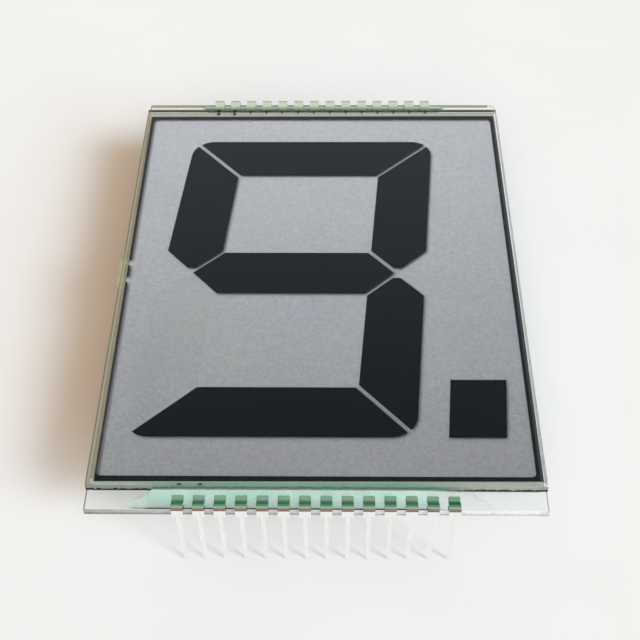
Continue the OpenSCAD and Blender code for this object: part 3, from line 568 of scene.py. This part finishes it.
def glue_bead(side, left, right, seed, fade):
    """A hand-laid bead along the near (side 1) or far (-1) ledge. Sizes in mm.

    left and right are [tip, end of contact with the front plate]. The glue loses its green over the length of fade.
    """
    # height, height against the front plate, bare strip at the ledge's edge, line that the tips run out on
    top, wall, edge, middle = 0.64, 0.85, 0.1, 0.4
    # length of a tip, reach of the rise against the plate, drop of the free lobes, height and half width over a pin
    tip, hollow, lobe_drop, pin_hump, pin_half = 1.9, 0.42, 0.3, 0.1, 0.74
    # share of the width where the inner slope ends, and where the outer one starts
    slope_in, slope_out = 0.4, 0.35
    # width at a free lobe's tip, its distance from the plate, waviness of its rim, ripple of the top, least thickness
    lobe_width, lobe_gap, wavy, rippled, skin = 1.0, 1.35, 0.12, 0.018, 0.004
    ledge = LEDGE / MM - 0.01
    base = REAR_HI.z / MM + 0.006
    steps_x, steps_v = 840, 26
    shape = bmesh.new()
    depth = shape.verts.layers.float.new("depth")
    rows = []
    for i in range(steps_x + 1):
        x = left[0] + (right[0] - left[0]) * (i / steps_x)
        # how far the bead has grown from either tip, and whether it touches the front plate
        grow = min((x - left[0]) / tip, (right[0] - x) / tip, 1)
        round_end = math.sin(math.pi / 2 * max(0, grow))
        touch = smooth(left[1] - 1.0, left[1] + 0.4, x) * smooth(-right[1] - 1.0, -right[1] + 0.4, -x)
        wave = noise.noise(Vector((x * 0.55, seed, 0))) * wavy
        lobe = (x - left[0]) / (left[1] - left[0]) if x < 0 else (right[0] - x) / (right[0] - right[1])
        inner_free = lobe_width + (ledge - lobe_gap + wave) * min(1, max(0, lobe))
        inner = inner_free + (ledge - inner_free) * touch
        outer = middle + (edge - middle) * round_end
        inner = middle + (inner - middle) * round_end
        height = (top - lobe_drop * (1 - touch)) * max(round_end, 0.02)
        green = smooth(0.1, 0.62, height) * (1 - smooth(fade[0], fade[1], x))
        near_pin = min(abs(x - (k - (PINS - 1) / 2) * PITCH / MM) for k in range(PINS))
        hump = pin_hump * math.exp(-(near_pin / pin_half) ** 6) * touch
        row = []
        for j in range(steps_v + 1):
            v = j / steps_v
            u = inner + (outer - inner) * v
            rise = (wall - top) * max(0, 1 - (inner - u) / hollow) ** 2 * touch
            round_in = 1 if v > slope_in else math.sin(math.pi / 2 * v / slope_in)
            round_in = touch + (1 - touch) * round_in
            round_out = 1 if v < slope_out else math.cos(math.pi / 2 * (v - slope_out) / (1 - slope_out)) ** 2
            ripple = rippled * noise.noise(Vector((x * 1.1, u * 1.4, seed + 3)))
            z = max((height + rise + hump + ripple) * round_in * round_out, skin)
            row.append(shape.verts.new((x * MM, -side * (REAR_HI.y / MM - u) * MM, (base + z) * MM)))
            row[-1][depth] = green * smooth(0.0, 0.28, z)
        low = [shape.verts.new((x * MM, -side * (REAR_HI.y / MM - u) * MM, base * MM)) for u in (outer, middle, inner)]
        for v in low:
            v[depth] = green
        rows.append(row + low)
    count = len(rows[0])
    for a, b in zip(rows, rows[1:]):
        for j in range(count):
            k = (j + 1) % count
            shape.faces.new((a[j], a[k], b[k], b[j]))
    shape.faces.new(rows[0])
    shape.faces.new(rows[-1])
    for face in shape.faces:
        face.smooth = True
    return shape


front_chips = [(-27.6, -35.4, 0.22, 0.7), (27.7, -35.4, 0.12, 0.4), (-12.3, -35.4, 0.06, 0.3)]
piece("front_glass_plate", snapped_plate(FRONT_LO, FRONT_HI, 1.0, front_chips), FRONT_GLASS, "glass", "front_glass")
rear_chips = [(27.7, 38.1, 0.12, 0.5), (-27.7, -38.1, 0.1, 0.4)]
piece("rear_glass_plate", snapped_plate(REAR_LO, REAR_HI, 2.0, rear_chips), REAR_GLASS, "glass", "rear_glass")
piece("near_glue_bead", glue_bead(1, [-23.3, -19.8], [21.6, 18.6], 1.5, (11.5, 17.5)), GLUE, "bead_glue", "front_glue")
piece("far_glue_bead", glue_bead(-1, [-20.0, -18.4], [20.3, 18.8], 4.5, (19.0, 22.0)), GLUE, "bead_glue", "rear_glue")


def own_mesh(name):
    """A merged copy of a solid's mesh, with its flat faces whole again."""
    shape = bmesh.new()
    shape.from_mesh(nodes[name].data)
    bmesh.ops.remove_doubles(shape, verts=shape.verts, dist=0.001 * MM)
    bmesh.ops.dissolve_limit(shape, angle_limit=math.radians(1), verts=shape.verts, edges=shape.edges)
    return shape


def thin_coating(name):
    """A coating drawn at half its thickness, so that it touches neither the fluid nor the glass."""
    shape = own_mesh(name)
    middle = sum(v.co.z for v in shape.verts) / len(shape.verts)
    for v in shape.verts:
        v.co.z = (v.co.z + middle) / 2
    return shape


piece("common_coating", thin_coating("common_electrode"), COATING, "clear_electrode", "common_electrode")
piece("idle_segment_coating", thin_coating("segment_e"), COATING, "clear_electrode", "segment_e")


def port_pillow():
    """The glue pillow over the fill port: a soft uneven dome on the plate edges."""
    lo, hi = [Vector(p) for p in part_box("fill_port_plug")]
    edge = FRONT_LO.x - 0.01 * MM
    middle = (lo + hi) / 2
    half_y, half_z, bulge = (hi.y - lo.y) / 2, (hi.z - lo.z) / 2, edge - lo.x
    rings, turns = 10, 48
    # roundness of its outline and of its crown, and the shares of the plug's box that it fills
    outline, crown = 2.6, 2.4
    full_x, full_y, full_z = 0.86, 0.96, 0.97
    shape = bmesh.new()
    rows = []
    for i in range(rings + 1):
        r = math.sin(math.pi / 2 * max(i, 0.2) / rings)
        row = []
        for k in range(turns):
            a = 2 * math.pi * k / turns
            square = (abs(math.cos(a)) ** outline + abs(math.sin(a)) ** outline) ** (-1 / outline)
            y, z = r * square * math.cos(a), r * square * math.sin(a)
            lump = noise.noise(Vector((y * 2.3, z * 0.9, 5.5)))
            out = bulge * (full_x + 0.13 * lump) * math.sqrt(max(0, 1 - r ** crown))
            row.append(shape.verts.new((edge - out, middle.y + y * half_y * (full_y + 0.03 * lump),
                                        middle.z + z * half_z * full_z)))
        rows.append(row)
    for a, b in zip(rows, rows[1:]):
        for k in range(turns):
            n = (k + 1) % turns
            shape.faces.new((a[k], a[n], b[n], b[k]))
    shape.faces.new(rows[0])
    for face in shape.faces:
        face.smooth = True
    shape.faces.new(rows[-1])
    return shape


piece("port_glue_pillow", port_pillow(), PLUG, "plug_glue", "fill_port_plug")


def row_tree():
    """Geometry nodes: one pin set out along a row, each with a slight lean of its own."""
    tree = bpy.data.node_groups.new("pin_row", "GeometryNodeTree")
    sockets = [("Geometry", "INPUT", "NodeSocketGeometry"), ("Count", "INPUT", "NodeSocketInt"),
               ("Start", "INPUT", "NodeSocketVector"), ("Pitch", "INPUT", "NodeSocketVector"),
               ("Turn", "INPUT", "NodeSocketFloat"), ("Lean", "INPUT", "NodeSocketVector"),
               ("Seed", "INPUT", "NodeSocketInt"), ("Finish", "INPUT", "NodeSocketMaterial"),
               ("Geometry", "OUTPUT", "NodeSocketGeometry")]
    for name, way, kind in sockets:
        tree.interface.new_socket(name, in_out=way, socket_type=kind)
    given = add(tree, "NodeGroupInput").outputs
    line = add(tree, "GeometryNodeMeshLine", {},
               {"Count": given["Count"], "Start Location": given["Start"], "Offset": given["Pitch"]})
    less = add(tree, "ShaderNodeVectorMath", {"operation": "SCALE"}, {0: given["Lean"], "Scale": -1.0})
    lean = add(tree, "FunctionNodeRandomValue", {"data_type": "FLOAT_VECTOR"},
               {0: less.outputs[0], 1: given["Lean"], "Seed": given["Seed"]})
    turn = add(tree, "ShaderNodeCombineXYZ", {}, {2: given["Turn"]})
    whole = add(tree, "ShaderNodeVectorMath", {"operation": "ADD"}, {0: lean.outputs[0], 1: turn.outputs[0]})
    pins = add(tree, "GeometryNodeInstanceOnPoints", {},
               {"Points": line.outputs[0], "Instance": given["Geometry"], "Rotation": whole.outputs[0]})
    real = add(tree, "GeometryNodeRealizeInstances", {}, {0: pins.outputs[0]})
    dressed = add(tree, "GeometryNodeSetMaterial", {}, {"Geometry": real.outputs[0], "Material": given["Finish"]})
    add(tree, "NodeGroupOutput", {}, {0: dressed.outputs[0]})
    return tree


# a face smaller than this, at a turn of less than that, belongs to a round bend
BEND_FACET, BEND_STEP = 0.5 * MM * MM, math.radians(26)
# edges that turn by more than this are eased by so much
CORNER, EASE = math.radians(35), 0.025 * MM
PIN_LEAN = [math.radians(a) for a in (0.25, 0.3, 0.5)]


def pin_row(name, first, turn, seed, tree, replaced):
    """A row of stamped pins with eased edges, from the first pin's own solid."""
    shape = own_mesh(first)
    lo, hi = [Vector(p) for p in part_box(first)]
    pivot = Vector(((lo.x + hi.x) / 2, -REAR_HI.y, REAR_HI.z))
    bmesh.ops.translate(shape, verts=shape.verts, vec=-pivot)
    sharp = [edge for edge in shape.edges if len(edge.link_faces) == 2 and edge.calc_face_angle() > CORNER]
    bmesh.ops.bevel(shape, geom=sharp, offset=EASE, segments=2, affect="EDGES", clamp_overlap=True)
    for face in shape.faces:
        face.smooth = face.calc_area() < BEND_FACET
    for edge in shape.edges:
        edge.smooth = edge.calc_face_angle(math.pi) < BEND_STEP
    mesh = bpy.data.meshes.new(name)
    shape.to_mesh(mesh)
    shape.free()
    holder = bpy.data.objects.new(name + "_holder", mesh)
    bpy.context.scene.collection.objects.link(holder)
    rows = holder.modifiers.new("row", "NODES")
    rows.node_group = tree
    step = math.copysign(PITCH, math.cos(turn))
    start = Matrix.Rotation(turn, 3, "Z") @ pivot
    values = {"Count": PINS, "Start": start, "Pitch": (step, 0, 0), "Turn": turn,
              "Lean": PIN_LEAN, "Seed": seed, "Finish": TIN}
    for socket in tree.interface.items_tree:
        if socket.in_out == "INPUT" and socket.name in values:
            rows[socket.identifier] = values[socket.name]
    graph = bpy.context.evaluated_depsgraph_get()
    made = bpy.data.meshes.new_from_object(holder.evaluated_get(graph))
    bpy.data.objects.remove(holder)
    shape = bmesh.new()
    shape.from_mesh(made)
    return piece(name, shape, TIN, "pin_metal", *replaced)


ROW_TREE = row_tree()
PIN_ROWS = [
    pin_row("near_pin_row", "front_pin_1", 0.0, 3, ROW_TREE, ["front_pin_%d" % i for i in range(1, PINS + 1)]),
    pin_row("far_pin_row", "front_pin_1", math.pi, 8, ROW_TREE, ["rear_pin_%d" % i for i in range(1, PINS + 1)])]


# Stage, light and camera

table = bpy.data.meshes.new("table_top")
reach = 0.9
table.from_pydata([(-reach, -reach, 0), (reach, -reach, 0), (reach, reach, 0), (-reach, reach, 0)], [],
                  [(0, 1, 2, 3)])
table.materials.append(FLOOR)
floor = bpy.data.objects.new("table_top", table)
bpy.context.scene.collection.objects.link(floor)

# metal and gloss mirror a room with a pale far wall and a brown near one, and the camera sees plain white
sky = bpy.data.worlds.new("soft_room")
sky.use_nodes = True
tree = sky.node_tree
tree.nodes.clear()
way = add(tree, "ShaderNodeTexCoord").outputs["Generated"]
axes = add(tree, "ShaderNodeSeparateXYZ", {}, {0: way})
far_wall = add(tree, "ShaderNodeValToRGB", {"stops": [(0.0, "#8d948f"), (0.42, "#8d948f"), (0.55, "#c4d3da"),
                                                      (0.62, "#f0f9ff"), (0.72, "#c4d2de"), (0.82, "#8f9aa3"),
                                                      (0.88, "#98a09f"), (0.95, "#fafaee"), (1.0, "#fafaee")]},
               {0: axes.outputs["Z"]})
near_wall = add(tree, "ShaderNodeValToRGB", {"stops": [(0.0, "#5e3f2c"), (0.22, "#6f5344"), (0.42, "#ab9887"),
                                                       (0.7, "#b9ad9b"), (0.88, "#e0dccd"), (1.0, "#fafaee")]},
                {0: axes.outputs["Z"]})
side = add(tree, "ShaderNodeMapRange", {"interpolation_type": "SMOOTHSTEP"}, {0: axes.outputs["Y"], 1: -0.2, 2: 0.3})
room = add(tree, "ShaderNodeMix", {"data_type": "RGBA"},
           {0: side.outputs[0], 6: near_wall.outputs[0], 7: far_wall.outputs[0]})
ray = add(tree, "ShaderNodeLightPath").outputs
seen = add(tree, "ShaderNodeBackground", {}, {"Color": room.outputs[2], "Strength": 1.0})
soft = add(tree, "ShaderNodeBackground", {}, {"Color": linear("#fff0e0"), "Strength": 0.17})
white = add(tree, "ShaderNodeBackground", {}, {"Color": linear("#f6f5f3"), "Strength": 1.0})
both = add(tree, "ShaderNodeMixShader", {}, {0: ray["Is Glossy Ray"], 1: soft.outputs[0], 2: seen.outputs[0]})
behind = add(tree, "ShaderNodeMixShader", {}, {0: ray["Is Camera Ray"], 1: both.outputs[0], 2: white.outputs[0]})
add(tree, "ShaderNodeOutputWorld", {}, {"Surface": behind.outputs[0]})
bpy.context.scene.world = sky


def linked(name, pieces, left_out):
    """A group for a lamp's links: it takes these pieces only, or leaves them out."""
    group = bpy.data.collections.new(name)
    for one in pieces:
        group.objects.link(one)
    for member in group.collection_objects:
        member.light_linking.link_state = "EXCLUDE" if left_out else "INCLUDE"
    return group


def lamp(name, kind, energy, colour, at, toward, settings, only=None, spare=None, shadeless=None):
    """A lamp at a place in mm, aimed at another; it lights some pieces only, spares some, or passes some by."""
    light = bpy.data.lights.new(name, kind)
    light.energy = energy
    light.color = linear(colour)[:3]
    for key, value in settings.items():
        setattr(light, key, value)
    made = bpy.data.objects.new(name, light)
    made.location = Vector(at) * MM
    made.rotation_euler = (Vector(toward) - Vector(at)).to_track_quat("-Z", "Y").to_euler()
    made.visible_transmission = False
    made.visible_glossy = False
    bpy.context.scene.collection.objects.link(made)
    if only or spare:
        made.light_linking.receiver_collection = linked(name + "_light_group", only or spare, spare)
    if shadeless:
        made.light_linking.blocker_collection = linked(name + "_shade_group", shadeless, True)


# the grey film has lamps of its own, and the tin only mirrors the room
GREY_FILM = nodes["rear_polarizer"]
SPARED = [GREY_FILM] + PIN_ROWS
# only the white share of the window's light casts the thin legs' shadows
WINDOW, LOW_WINDOW, ROOM = (681, -458, 572), (681, -458, 470), (0, -743, 669)
lamp("window", "SUN", 1.1, "#ffffff", WINDOW, (0, 0, 0), {"angle": math.radians(20)}, spare=SPARED)
lamp("window_sky", "SUN", 2.9, "#b6e2ff", LOW_WINDOW, (0, 0, 0), {"angle": math.radians(42)}, spare=SPARED,
     shadeless=PIN_ROWS)
lamp("room", "SUN", 1.84, "#ffdebc", ROOM, (0, 0, 0), {"angle": math.radians(50)}, spare=SPARED,
     shadeless=PIN_ROWS)
# a bank of nine lamps over the film
BANK, BANK_SPACING, BANK_AIM = (-205, -250, 930), 160, (0, 112, 10)
for i in range(9):
    column, row = i % 3 - 1, i // 3 - 1
    at = (BANK[0] + BANK_SPACING * column, BANK[1] + BANK_SPACING * row, BANK[2])
    lamp("film_lamp_%d" % i, "SPOT", 7.9, "#ffffff", at, BANK_AIM,
         {"spot_size": math.radians(22), "spot_blend": 1.0, "shadow_soft_size": 0.08}, only=[GREY_FILM])

# fitted to the photo: lens, turn aside, look down and tilt in degrees, place in mm
view = bpy.data.cameras.new("camera")
view.sensor_width = 36
view.lens = 64.82
camera = bpy.data.objects.new("camera", view)
aside, down, tilt = [math.radians(a) for a in (1.281, 48.964, -0.834)]
turn = Matrix.Rotation(aside, 3, "Z") @ Matrix.Rotation(math.pi / 2 - down, 3, "X") @ Matrix.Rotation(tilt, 3, "Z")
camera.matrix_world = Matrix.Translation(Vector((2.47, -110.83, 128.95)) * MM) @ turn.to_4x4()
view.clip_start = 1 * MM
bpy.context.scene.collection.objects.link(camera)
bpy.context.scene.camera = camera
bpy.context.scene.view_settings.view_transform = "Standard"
bpy.context.scene.cycles.caustics_reflective = False
# light crosses every face of the stack of films and plates twice
bpy.context.scene.cycles.max_bounces = 32
bpy.context.scene.cycles.transmission_bounces = 32
bpy.context.scene.cycles.transparent_max_bounces = 32
